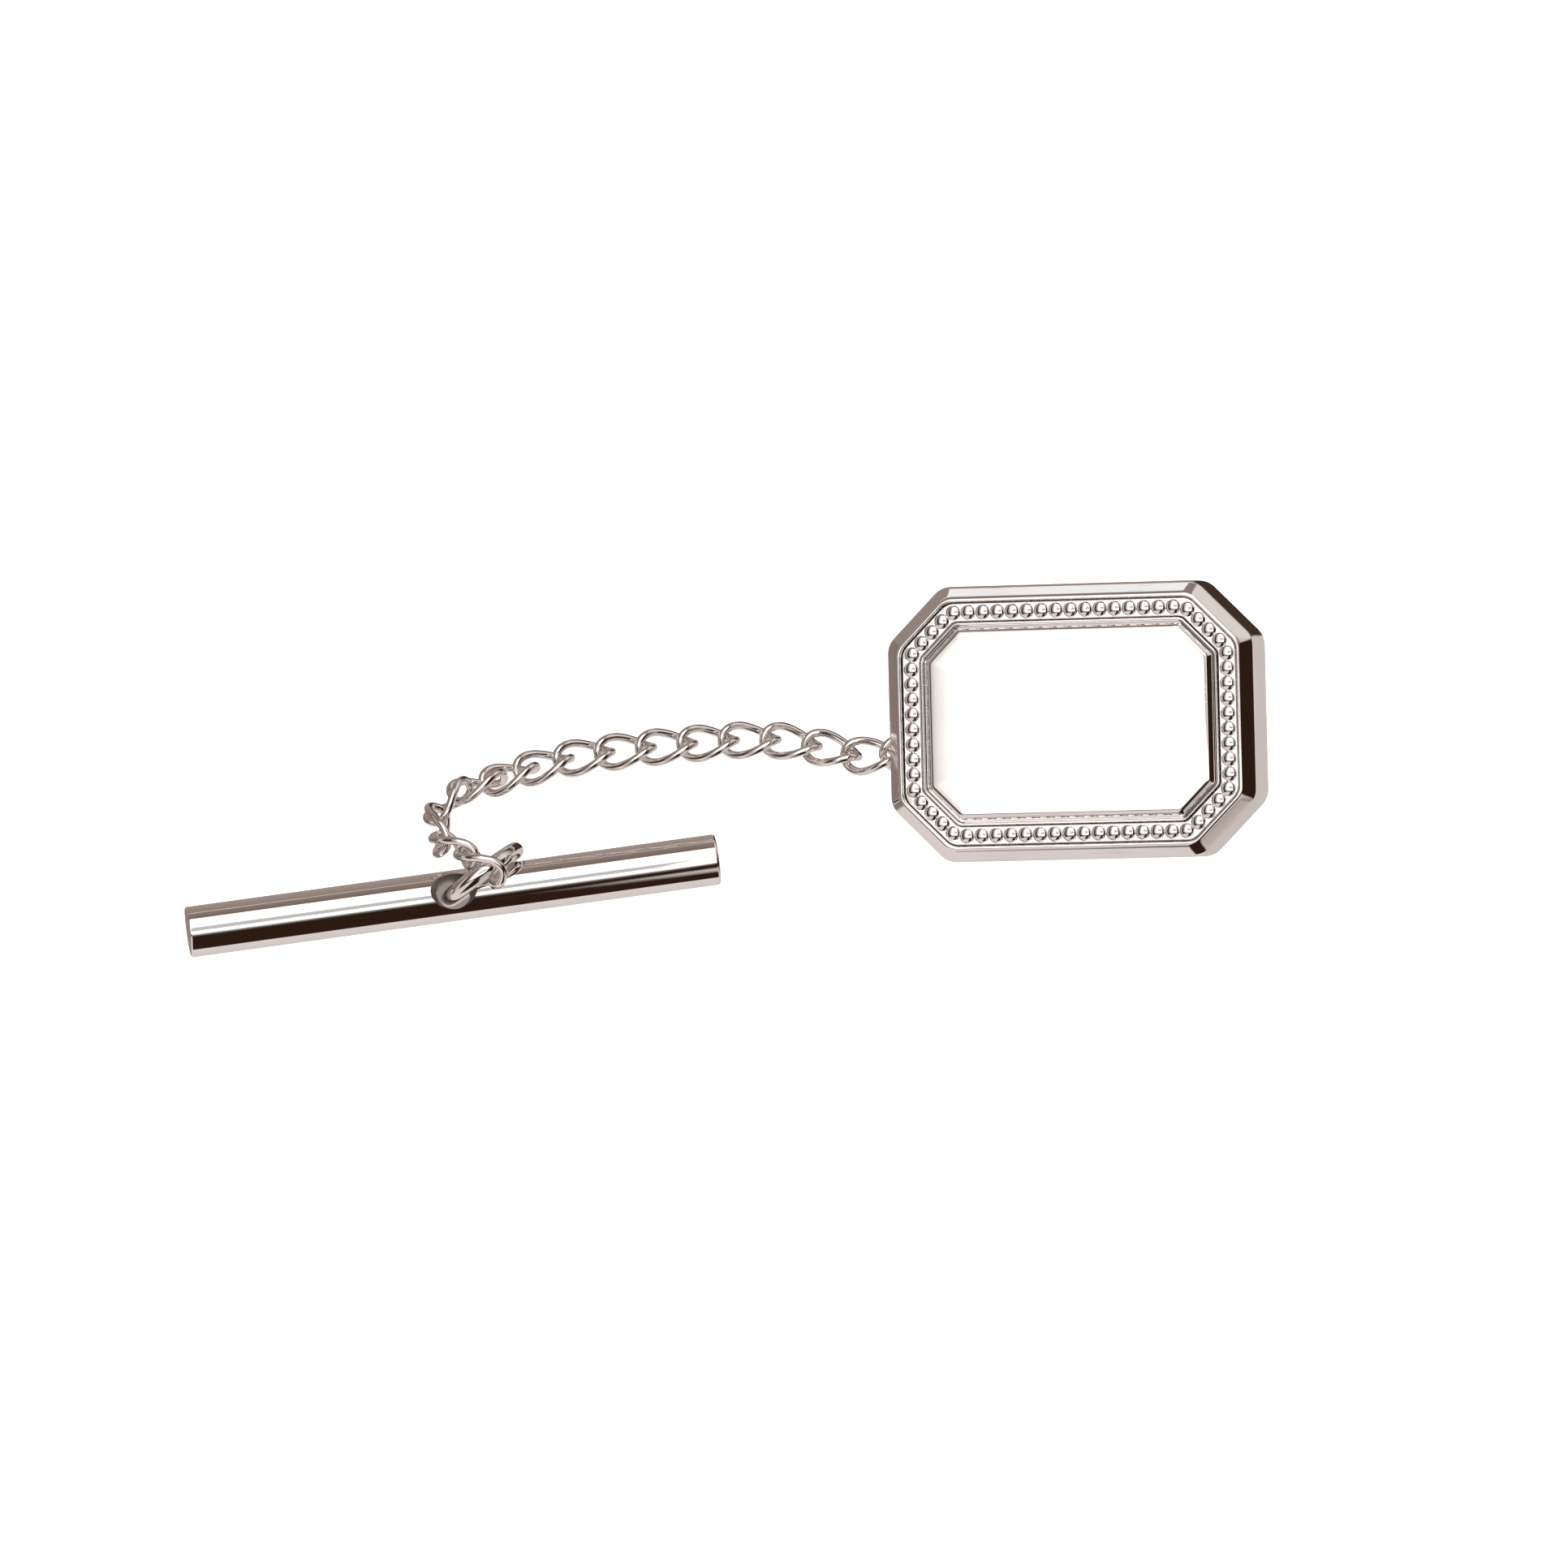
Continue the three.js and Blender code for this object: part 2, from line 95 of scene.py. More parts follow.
WING_WIDTHS = (2.3, 4.2)
WING_SHOULDER = (2.55, 2.95)
WING_SPINE = (
    (0.86, -3.72), (1.4, -4.25), (2.2, -4.5), (2.8, -4.95), (3.4, -5.55),
    (4.2, -5.99), (4.93, -5.62), (4.85, -4.92), (4.2, -4.8),
)

# Chain, rings and bar. The wires are a hair thinner than in the CAD part, whose many-sided
# wires have flats.
LINK_WIRE = 0.325
LINK_HALF_LENGTH = 1.1
LINK_HALF_WIDTH = 0.66
LINK_ROUNDNESS = 2.4
LINK_TWIST = math.radians(-48)
CLUTCH_RING = (0.95, 0.385)  # radius to the middle of the wire, and wire
BAR_RING = (1.58, 0.675)
BAR_LENGTH = 21.0
BAR_RADIUS = 1.0
BAR_END_ROUND = 0.12
BAR_HOLE_RADIUS = 0.68
BAR_SINK_RADIUS = 0.92
BAR_SINK_DEPTH = 0.35
BAR_OVERCUT = 0.2
SINK_FLARE = 0.1
HOLE_SHADE_DEPTH = 0.02  # faces further below the bar's surface than this are the hole's, and get its duller metal with painted shade

FILLET_SHARE = 0.45  # the most of a side that a fillet takes up

# Studio, in metres, degrees and linear colours.
WHITE = (1.0, 1.0, 1.0)
BLACK = (0.0, 0.0, 0.0)
WARM = (1.0, 0.975, 0.96)
DARK = (0.026, 0.012, 0.007)
ROOM = 1.4
SOFTBOX_HEIGHT = 0.4
SOFTBOX_STRENGTH = 1.6
# How bright the softbox is, by degrees from straight up: left to right, and front to back.
SOFTBOX_ACROSS = ((-46, 0.2), (-38, 0.34), (-33, 0.56), (-28, 1.0), (20, 1.0), (22, 0.3))
SOFTBOX_ALONG = ((-24, 0.02), (-19, 0.1), (-15, 0.35), (-10, 1.0), (57, 1.0), (58.5, 0.2))
# A dim seam that hangs just under it, above the bar.
SEAM_ACROSS = (-16, 16)
SEAM_ALONG = (0, 16)
SEAM_STRENGTH = 0.55
# A bright stretch of table behind, and a shaded spot under the bar's cross hole.
BOUNCE_X = (-0.35, 0.1)
BOUNCE_Y = (0.1, 1.3)
BOUNCE_HEIGHT = -0.2 * MM
BOUNCE_STRENGTH = 0.95
SHADE_RADIUS = 0.85 * MM
SHADE_HEIGHT = 0.01 * MM
SHADE_COLOR = (0.3, 0.26, 0.24)
SHADE_SIDES = 48
# What the metal shows of the room: colours from straight down (-1) to straight up (1).
LEFT_SIDE = (
    (-1, (0.3, 0.245, 0.215)), (-0.03, (0.2, 0.155, 0.13)), (0.05, (0.12, 0.09, 0.07)),
    (0.2, (0.6, 0.55, 0.52)), (0.35, (0.6, 0.55, 0.52)), (0.45, (0.06, 0.038, 0.028)),
    (1, (0.045, 0.028, 0.02)),
)
FRONT_LEFT = ((-1, (0.72, 0.65, 0.62)), (1, (0.74, 0.665, 0.65)))
FRONT = (
    (-1, (0.66, 0.6, 0.575)), (-0.03, (0.74, 0.68, 0.655)), (0.02, DARK), (1, DARK),
)
FRONT_RIGHT = (
    (-1, (0.6, 0.54, 0.51)), (0.3, (0.62, 0.55, 0.52)), (0.4, (0.3, 0.245, 0.22)),
    (0.48, (0.6, 0.54, 0.51)), (0.68, (0.6, 0.54, 0.51)), (0.78, DARK), (1, DARK),
)
RIGHT = (
    (-1, (0.6, 0.54, 0.51)), (-0.03, (0.68, 0.615, 0.585)), (0.02, DARK), (1, DARK),
)
BACK_RIGHT = (
    (-1, (0.05, 0.03, 0.02)), (-0.3, (0.06, 0.038, 0.028)), (0, (0.5, 0.45, 0.42)),
    (0.2, (0.76, 0.7, 0.67)), (0.45, (0.76, 0.7, 0.67)), (0.7, (0.19, 0.14, 0.115)),
    (1, (0.19, 0.14, 0.115)),
)
BEHIND = (
    (-1, (0.376, 0.309, 0.275)), (0, (0.28, 0.22, 0.19)), (0.5, (0.19, 0.14, 0.115)),
    (1, (0.19, 0.14, 0.115)),
)
# Where each sector of the room starts, in degrees from the left through the front.
SECTORS = (
    (32, FRONT_LEFT), (75, FRONT), (116, FRONT_RIGHT), (146, RIGHT), (205, BACK_RIGHT),
    (258, BEHIND), (330, LEFT_SIDE),
)
SECTOR_EDGE = 3

CAMERA_TARGET = (2.22 * MM, -0.57 * MM, 3 * MM)
CAMERA_DISTANCE = 0.6
VIEW_WIDTH = 61.33 * MM
SENSOR_WIDTH = 36

# ---------------------------------------------------------------- profiles and meshes


def filleted(points, radius, steps=4, closed=True):
    """Profile with its corners rounded; a corner keeps its own radius if it names one."""
    out = []
    count = len(points)
    for i, point in enumerate(points):
        here = Vector(point[:2])
        size = point[2] if len(point) > 2 else radius
        if size == 0 or (not closed and i in (0, count - 1)):
            out.append(here)
            continue
        back = Vector(points[i - 1][:2]) - here
        ahead = Vector(points[(i + 1) % count][:2]) - here
        size = min(size, back.length * FILLET_SHARE, ahead.length * FILLET_SHARE)
        start = here + back.normalized() * size
        end = here + ahead.normalized() * size
        for step in range(steps + 1):
            t = step / steps
            out.append(start * (1 - t) ** 2 + here * 2 * t * (1 - t) + end * t**2)
    return [(p.x, p.y) for p in out]


def grid_faces(rows, columns, wrap_rows):
    """Quads joining rows of points; the columns always wrap round."""
    faces = []
    for row in range(rows if wrap_rows else rows - 1):
        above = (row + 1) % rows
        for i in range(columns):
            j = (i + 1) % columns
            faces.append((
                row * columns + i, row * columns + j,
                above * columns + j, above * columns + i,
            ))
    return faces


def turned(profile, segments):
    """Vertices and faces of a profile of (radius, z) turned about Z. It closes on the axis,
    where its first and last radius are 0, or on itself."""
    on_axis = profile[0][0] == 0
    body = profile[1:-1] if on_axis else profile
    verts = []
    for radius, z in body:
        for i in range(segments):
            angle = 2 * math.pi * i / segments
            verts.append((radius * math.cos(angle), radius * math.sin(angle), z))
    faces = grid_faces(len(body), segments, wrap_rows=not on_axis)
    if on_axis:
        first, last = len(verts), len(verts) + 1
        verts += [(0, 0, profile[0][1]), (0, 0, profile[-1][1])]
        top = (len(body) - 1) * segments
        for i in range(segments):
            j = (i + 1) % segments
            faces.append((first, j, i))
            faces.append((last, top + i, top + j))
    return verts, faces


def tube(points, radius, sides):
    """Round wire along a closed loop of points."""
    path = np.array(points, float)
    tangents = np.roll(path, -1, 0) - np.roll(path, 1, 0)
    tangents /= np.linalg.norm(tangents, axis=1)[:, None]
    normal = np.cross(tangents[0], (0.3, 0.5, 1.0))
    normal /= np.linalg.norm(normal)
    normals = []
    for tangent in tangents:
        normal = normal - tangent * normal.dot(tangent)
        normal /= np.linalg.norm(normal)
        normals.append(normal)
    closing = normals[-1] - tangents[0] * normals[-1].dot(tangents[0])
    closing /= np.linalg.norm(closing)
    side = np.cross(tangents[0], normals[0])
    slip = math.atan2(closing.dot(side), closing.dot(normals[0]))
    verts = []
    for k, (middle, tangent) in enumerate(zip(path, tangents)):
        binormal = np.cross(tangent, normals[k])
        for i in range(sides):
            angle = 2 * math.pi * i / sides - slip * k / len(path)
            out = normals[k] * math.cos(angle) + binormal * math.sin(angle)
            verts.append(tuple(middle + out * radius))
    return verts, grid_faces(len(path), sides, wrap_rows=True)


def circle(radius, steps):
    return [
        (radius * math.cos(a), radius * math.sin(a), 0)
        for a in (2 * math.pi * i / steps for i in range(steps))
    ]


def outline(inset, steps=CORNER_STEPS):
    """Face outline moved inward by inset, its eight corners rounded."""
    radius = max(CORNER_RADIUS - inset * CORNER_SHARPENING, 0.2)
    deep = inset + radius
    long, short = FACE_LENGTH / 2 - deep, FACE_WIDTH / 2 - deep
    cut = FACE_CUT - (2 - math.sqrt(2)) * deep
    points = []
    for corner in range(8):
        quadrant = corner // 2
        sign_x = 1 if quadrant in (0, 3) else -1
        sign_y = 1 if quadrant < 2 else -1
        on_end = corner % 4 in (0, 3)
        x = long if on_end else long - cut
        y = short - cut if on_end else short
        for step in range(steps + 1):
            angle = math.radians(45) * (corner + step / steps)
            points.append((
                sign_x * x + radius * math.cos(angle),
                sign_y * y + radius * math.sin(angle),
            ))
    return points


def stacked(levels, closed):
    """Outline at (inset, z) levels: a closed frame, or a plate capped at both ends."""
    verts = [(x, y, z) for inset, z in levels for x, y in outline(inset)]
    count = len(verts) // len(levels)
    faces = grid_faces(len(levels), count, wrap_rows=closed)
    if not closed:
        top = (len(levels) - 1) * count
        faces.append(tuple(reversed(range(count))))
        faces.append(tuple(range(top, top + count)))
    return verts, faces


def tipped(shape, degrees, axis):
    """Shape that was turned about Z, tipped over to another axis."""
    verts, faces = shape
    turn = Matrix.Rotation(math.radians(degrees), 4, axis)
    return [tuple(turn @ Vector(v)) for v in verts], faces


def joined(*parts):
    verts, faces = [], []
    for more_verts, more_faces in parts:
        start = len(verts)
        verts += more_verts
        faces += [tuple(start + i for i in face) for face in more_faces]
    return verts, faces


def mesh_object(name, shape, matrix):
    """Object from vertices in millimetres in its own frame, placed by matrix in metres."""
    verts, faces = shape
    mesh = bpy.data.meshes.new(name)
    mesh.from_pydata([Vector(v) * MM for v in verts], [], faces)
    mesh.validate()
    obj = bpy.data.objects.new(name, mesh)
    bpy.context.scene.collection.objects.link(obj)
    obj.matrix_world = matrix
    return obj


def combined(obj, tool, operation):
    """obj with another mesh added to it or cut from it."""
    modifier = obj.modifiers.new(operation, "BOOLEAN")
    modifier.operation = operation
    modifier.object = tool
    modifier.solver = "EXACT"
    graph = bpy.context.evaluated_depsgraph_get()
    made = bpy.data.meshes.new_from_object(obj.evaluated_get(graph))
    obj.modifiers.clear()
    obj.data = made
    bpy.data.objects.remove(tool)
    return obj


def smooth(obj, angle=35):
    obj.data.shade_smooth()
    obj.data.set_sharp_from_angle(angle=math.radians(angle))
    obj.modifiers.new("normals", "WEIGHTED_NORMAL").keep_sharp = True
    return obj


# ---------------------------------------------------------------- materials


def metal(name, color, roughness, scratch=0.25, grain=0.2, drawn=0.0):
    """Plated or bare metal: uneven tone, hazy spots, hairline scratches and, where the
    metal was drawn or rolled, fine lines along X."""
    material = bpy.data.materials.new(name)
    material.use_nodes = True
    nodes, links = material.node_tree.nodes, material.node_tree.links
    shader = nodes["Principled BSDF"]
    shader.inputs["Metallic"].default_value = 1.0
    place = nodes.new("ShaderNodeTexCoord").outputs["Object"]

    def noise(scale, detail, stretch=(1, 1, 1)):
        mapping = nodes.new("ShaderNodeMapping")
        mapping.inputs["Scale"].default_value = stretch
        links.new(place, mapping.inputs["Vector"])
        texture = nodes.new("ShaderNodeTexNoise")
        texture.inputs["Scale"].default_value = scale
        texture.inputs["Detail"].default_value = detail
        links.new(mapping.outputs["Vector"], texture.inputs["Vector"])
        return texture.outputs["Fac"]

    def spread(value, source, target):
        node = nodes.new("ShaderNodeMapRange")
        for socket, number in zip(
            ("From Min", "From Max", "To Min", "To Max"), (*source, *target)
        ):
            node.inputs[socket].default_value = number
        links.new(value, node.inputs["Value"])
        return node.outputs["Result"]

    tone = nodes.new("ShaderNodeValToRGB")
    tone.color_ramp.elements[0].position = 0.3
    tone.color_ramp.elements[0].color = (*(c * 0.94 for c in color), 1)
    tone.color_ramp.elements[1].position = 0.7
    tone.color_ramp.elements[1].color = (*color, 1)
    links.new(noise(700, 4), tone.inputs["Fac"])
    links.new(tone.outputs["Color"], shader.inputs["Base Color"])

    haze = spread(noise(1400, 6), (0.35, 0.75), (roughness, roughness * 2.2))
    links.new(haze, shader.inputs["Roughness"])

    hairs = spread(noise(9000, 2, (0.03, 1, 1)), (0.62, 0.68), (0, scratch))
    crossing = spread(noise(7000, 2, (1, 0.04, 0.4)), (0.66, 0.7), (0, scratch * 0.6))
    peel = spread(noise(2600, 3), (0, 1), (0, grain))
    lines = spread(noise(16000, 2, (0.02, 1, 1)), (0.3, 0.7), (0, drawn))
    total = peel
    for layer in (hairs, crossing, lines):
        add = nodes.new("ShaderNodeMath")
        links.new(total, add.inputs[0])
        links.new(layer, add.inputs[1])
        total = add.outputs["Value"]
    bump = nodes.new("ShaderNodeBump")
    bump.inputs["Strength"].default_value = 0.35
    bump.inputs["Distance"].default_value = 0.000004
    links.new(total, bump.inputs["Height"])
    links.new(bump.outputs["Normal"], shader.inputs["Normal"])
    return material


PLATE = metal("plated_polished", (0.94, 0.92, 0.905), 0.035)
MIRROR = metal("plated_mirror", (0.95, 0.935, 0.92), 0.02, scratch=0.12, grain=0.08)
ROD = metal("plated_rod", (0.95, 0.935, 0.92), 0.04, scratch=0.04, grain=0.03)
WIRE = metal("plated_wire", (0.93, 0.905, 0.89), 0.04, scratch=0.15, grain=0.15)
BACK = metal("plated_back", (0.88, 0.86, 0.84), 0.12, scratch=0.6, grain=0.8)
# Metal of the cross hole's faces: rougher than the rod, and darker as painted shade for the hole's
# shaded walls.
HOLE_SHADE_METAL = metal("hole_dull_painted_shade", (0.58, 0.53, 0.51), 0.35, scratch=0.6, grain=0.8)
STEEL = metal("spring_steel", (0.72, 0.71, 0.7), 0.16, scratch=0.6, grain=0.6, drawn=0.8)


def dress(obj, material, slot, body, *nodes):
    obj.data.materials.clear()
    obj.data.materials.append(material)
    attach(obj, body)
    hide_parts(*nodes)
    return obj


# ---------------------------------------------------------------- the fixed frame

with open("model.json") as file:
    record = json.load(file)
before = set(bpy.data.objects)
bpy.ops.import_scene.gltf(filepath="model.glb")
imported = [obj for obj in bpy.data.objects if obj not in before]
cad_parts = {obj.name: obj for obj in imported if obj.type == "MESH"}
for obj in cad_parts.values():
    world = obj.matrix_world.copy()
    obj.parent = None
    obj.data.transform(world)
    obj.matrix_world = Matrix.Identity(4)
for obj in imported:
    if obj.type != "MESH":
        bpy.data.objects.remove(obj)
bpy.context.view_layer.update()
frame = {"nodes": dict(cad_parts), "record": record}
record = frame["record"]
mounts = {mount["name"]: mount for mount in record["mounts"]}
joints = {joint["name"]: joint for joint in record["behaviour"]["joints"]}
body_of_node = {
    node: body for body, members in record["behaviour"]["bodies"].items() for node in members
}


def basis(x, y, z, origin):
    return Matrix.Translation(origin) @ Matrix((x, y, z)).transposed().to_4x4()


def tack_frame():
    """Frame of the face and clutch: X along the face, Z out of its front."""
    z = Vector(mounts["face_front"]["axis"]).normalized()
    y = Vector(joints["wing_right_pinch"]["axis"]).normalized()
    x = y.cross(z)
    face_spot = x * FACE_MOUNT[0] + y * FACE_MOUNT[1] + z * FACE_MOUNT[2]
    origin = Vector(mounts["face_front"]["pos_m"]) - face_spot * MM
    return basis(x, y, z, origin)


def own_frame(node):
    """Frame of a symmetric CAD node: its middle, and its axes from the longest to the shortest."""
    points = np.array([v.co for v in frame["nodes"][node].data.vertices], float)
    spread = points - points.mean(0)
    _, axes = np.linalg.eigh(spread.T @ spread)
    x, y = axes[:, 2], axes[:, 1]
    z = np.cross(x, y)
    turn = np.array((x, y, z))
    local = points @ turn.T
    middle = (local.max(0) + local.min(0)) / 2 @ turn
    return basis(Vector(x), Vector(y), Vector(z), Vector(middle))


TACK = tack_frame()

# ---------------------------------------------------------------- face


def face_frame():
    crest = BEVEL[-1][1]
    profile = filleted([
        (0, 0, 0.05),
        *BEVEL,
        (CREST_INSET, crest, 0.06),
        (CHANNEL_INSET[0], CHANNEL_FLOOR, 0.03),
        (CHANNEL_INSET[1], CHANNEL_FLOOR, 0.03),
        (RAIL_INSET[0], RAIL_TOP, 0.04),
        (RAIL_INSET[1], RAIL_TOP, 0.03),
        (PANEL_INSET, PANEL_FOOT, 0.02),
        (PANEL_INSET, PANEL_SEAT, 0),
        (LEDGE_INSET, PANEL_SEAT, 0),
        (LEDGE_INSET, BACK_RECESS, 0),
        (BACK_INSET, BACK_RECESS, 0),
        (BACK_INSET, 0, 0.05),
    ], 0.03)
    frame_piece = smooth(mesh_object("face_frame_fine", stacked(profile, True), TACK))
    dress(frame_piece, PLATE, PLATE_SLOT, "tack", "face_frame")


def face_panel():
    """Plate with a bevelled edge, rising a little further to a flat crown."""
    edge = PANEL_INSET + GAP
    inset, shoulder = edge + PANEL_BEVEL[0], PANEL_BEVEL[1]
    crown = []
    for i in range(PANEL_SKIPPED, PANEL_STEPS + 1):
        share = i / PANEL_STEPS
        rise = 1 - (1 - share) ** PANEL_CURVE
        crown.append((inset + PANEL_SLOPE * share, shoulder + (PANEL_CROWN - shoulder) * rise, 0))
    levels = filleted([
        (edge, PANEL_SEAT + GAP),
        (edge, PANEL_FOOT, 0.03),
        (inset, shoulder, PANEL_SHOULDER),
        *crown,
    ], 0, steps=8, closed=False)
    panel = smooth(mesh_object("face_panel_fine", stacked(levels, False), TACK))
    dress(panel, MIRROR, PLATE_SLOT, "tack", "face_panel")


def dome(middle, segments=24, rings=8):
    """Half of a flattened ball, closed underneath, standing on a point."""
    foot = -STRIP_THICKNESS / 2
    profile = [(0, foot), (BEAD_RADIUS, foot)]
    for i in range(rings):
        angle = math.radians(90 * i / rings)
        profile.append((BEAD_RADIUS * math.cos(angle), BEAD_RISE * math.sin(angle)))
    profile.append((0, BEAD_RISE))
    verts, faces = turned(profile, segments)
    return [tuple(Vector(v) + middle) for v in verts], faces


def bead_border():
    """Beads evenly spaced along a strip that fills the channel."""
    inset = (CHANNEL_INSET[0] + CHANNEL_INSET[1]) / 2
    half = (CHANNEL_INSET[1] - CHANNEL_INSET[0]) / 2 - GAP
    low = CHANNEL_FLOOR + GAP
    high = low + STRIP_THICKNESS
    corners = [Vector((x, y, high)) for x, y in outline(inset, 3)]
    ends = corners[1:] + corners[:1]
    lengths = [(b - a).length for a, b in zip(corners, ends)]
    count = round(sum(lengths) / BEAD_PITCH)
    strip = filleted([
        (inset - half, low), (inset - half, high), (inset + half, high), (inset + half, low),
    ], 0.03)
    parts = [stacked(strip, True)]
    for bead in range(count):
        reach = sum(lengths) * bead / count
        for a, b, length in zip(corners, ends, lengths):
            if reach <= length:
                parts.append(dome(a.lerp(b, reach / length)))
                break
            reach -= length
    border = smooth(mesh_object("bead_border_fine", joined(*parts), TACK), 50)
    dress(border, PLATE, PLATE_SLOT, "tack", "bead_border")


def back_plate():
    inset = BACK_INSET + GAP
    levels = [
        (inset + BACK_EASE, 0),
        (inset + BACK_EASE / 3, BACK_EASE / 3),
        (inset, BACK_EASE),
        (inset, BACK_RECESS - GAP),
    ]
    plate = smooth(mesh_object("back_plate_fine", stacked(levels, False), TACK))
    dress(plate, BACK, PLATE_SLOT, "tack", "back_plate")


def pin():
    pad = filleted([
        (0, -PAD_THICKNESS), (PAD_RADIUS, -PAD_THICKNESS, 0.14), (PAD_RADIUS, -GAP), (0, -GAP),
    ], 0.02, closed=False)
    pad_piece = smooth(mesh_object("pin_pad_fine", turned(pad, 96), TACK))
    dress(pad_piece, BACK, PLATE_SLOT, "tack", "pin_pad")
    top = -PAD_THICKNESS - GAP
    lip = PIN_RADIUS - PIN_GROOVE_RADIUS
    post = filleted([
        (0, -PIN_LENGTH),
        (PIN_TIP_RADIUS, -PIN_LENGTH + PIN_TIP_RADIUS, 0.04),
        (PIN_RADIUS, -PIN_LENGTH + PIN_TAPER, 0.3),
        (PIN_RADIUS, -PIN_GROOVE[1] - lip, 0.02),
        (PIN_GROOVE_RADIUS, -PIN_GROOVE[1], 0.02),
        (PIN_GROOVE_RADIUS, -PIN_GROOVE[0], 0.02),
        (PIN_RADIUS, -PIN_GROOVE[0] + lip, 0.02),
        (PIN_RADIUS, top, 0),
        (0, top),
    ], 0.02, closed=False)
    post_piece = smooth(mesh_object("pin_post_fine", turned(post, 64), TACK), 50)
    dress(post_piece, STEEL, STEEL_SLOT, "tack", "pin_post")


# ---------------------------------------------------------------- clutch


def clutch_flange():
    """Round flange with the boss that the pin runs through."""
    profile = filleted([
        (CLUTCH_BORE, -CLUTCH_TOP, 0.08),
        (CLUTCH_BORE, FLANGE_BOTTOM - BOSS_DEPTH, 0.08),
        (BOSS_RADIUS, FLANGE_BOTTOM - BOSS_DEPTH, 0.08),
        (BOSS_RADIUS, FLANGE_BOTTOM, 0.04),
        (FLANGE_RADIUS, FLANGE_BOTTOM, 0.18),
        (FLANGE_RADIUS, -CLUTCH_TOP, 0.18),
    ], 0.05)
    return mesh_object("clutch_base_fine", turned(profile, 96), TACK)


def clutch_tab():
    """Tab that the chain hangs on, from inside the flange to its round free end."""
    points = [(-TAB_ROOT, -TAB_RADIUS), (-TAB_ROOT, TAB_RADIUS)]
    for i in range(TAB_STEPS + 1):
        angle = math.radians(90 + 180 * i / TAB_STEPS)
        points.append((
            -TAB_REACH + TAB_RADIUS * math.cos(angle), TAB_RADIUS * math.sin(angle),
        ))
    points.reverse()
    count = len(points)
    low, high = FLANGE_BOTTOM + TAB_SHY, -CLUTCH_TOP - TAB_SHY
    verts = [(x, y, low) for x, y in points] + [(x, y, high) for x, y in points]
    faces = grid_faces(2, count, wrap_rows=False)
    faces += [tuple(reversed(range(count))), tuple(range(count, 2 * count))]
    return mesh_object("tab", (verts, faces), TACK)


def tab_drill():
    """Tool that cuts the tab's hole, its rims chamfered."""
    chamfer, depth = TAB_CHAMFER
    profile = filleted([
        (0, FLANGE_BOTTOM - TAB_OVERCUT),
        (TAB_HOLE + chamfer, FLANGE_BOTTOM - TAB_OVERCUT, 0),
        (TAB_HOLE + chamfer, FLANGE_BOTTOM, 0),
        (TAB_HOLE, FLANGE_BOTTOM + depth, 0.02),
        (TAB_HOLE, -CLUTCH_TOP - depth, 0.02),
        (TAB_HOLE + chamfer, -CLUTCH_TOP, 0),
        (TAB_HOLE + chamfer, -CLUTCH_TOP + TAB_OVERCUT, 0),
        (0, -CLUTCH_TOP + TAB_OVERCUT),
    ], 0.02, closed=False)
    place = TACK @ Matrix.Translation((-TAB_REACH * MM, 0, 0))
    return mesh_object("drill", turned(profile, 48), place)


def clutch_base():
    base = combined(clutch_flange(), clutch_tab(), "UNION")
    base = smooth(combined(base, tab_drill(), "DIFFERENCE"))
    dress(base, BACK, PLATE_SLOT, "clutch", "clutch_base")


def clutch_cage():
    """The CAD cage itself, its cut edges eased."""
    cage = frame["nodes"]["clutch_cage"]
    weld = cage.modifiers.new("weld", "WELD")
    weld.merge_threshold = 1e-6
    ease = cage.modifiers.new("ease", "BEVEL")
    ease.width = CAGE_EASE * MM
    ease.segments = 3
    ease.angle_limit = math.radians(30)
    cage.modifiers.new("normals", "WEIGHTED_NORMAL")
    cage.data.materials.clear()
    cage.data.materials.append(STEEL)


def spline(points, steps):
    """Smooth line through the points, with steps pieces between neighbours."""
    points = [Vector(p) for p in points]
    first = points[0] * 2 - points[1]
    last = points[-1] * 2 - points[-2]
    padded = [first, *points, last]
    out = []
    for i in range(1, len(points)):
        a, b, c, d = padded[i - 1:i + 3]
        for step in range(steps):
            t = step / steps
            out.append(0.5 * (
                2 * b + (c - a) * t + (2 * a - 5 * b + 4 * c - d) * t**2
                + (3 * b - a - 3 * c + d) * t**3
            ))
    out.append(points[-1])
    return out


def clutch_wing(name, body, node, matrix):
    """Strip of spring steel: a narrow neck, shoulders, and a broad rolled finger grip."""
    spine = spline(WING_SPINE, 8)
    verts = []
    for i, middle in enumerate(spine):
        ahead = spine[min(i + 1, len(spine) - 1)] - spine[max(i - 1, 0)]
        side = Vector((-ahead.y, ahead.x)).normalized()
        share = (middle.x - WING_SHOULDER[0]) / (WING_SHOULDER[1] - WING_SHOULDER[0])
        share = 1.0 if i > len(spine) / 2 else min(max(share, 0), 1)
        share = share * share * (3 - 2 * share)
        half = (WING_WIDTHS[0] + (WING_WIDTHS[1] - WING_WIDTHS[0]) * share) / 2
        thick = WING_THICKNESS / 2
        section = filleted([(-half, -thick), (half, -thick), (half, thick), (-half, thick)], 0.1)
        for across, out in section:
            spot = middle + side * out
            verts.append((spot.x, across, spot.y))
    count = len(verts) // len(spine)
    faces = grid_faces(len(spine), count, wrap_rows=False)
    last = (len(spine) - 1) * count
    faces += [tuple(reversed(range(count))), tuple(range(last, last + count))]
    wing = smooth(mesh_object(name, (verts, faces), matrix), 50)
    dress(wing, STEEL, STEEL_SLOT, body, node)


# ---------------------------------------------------------------- chain, rings and bar


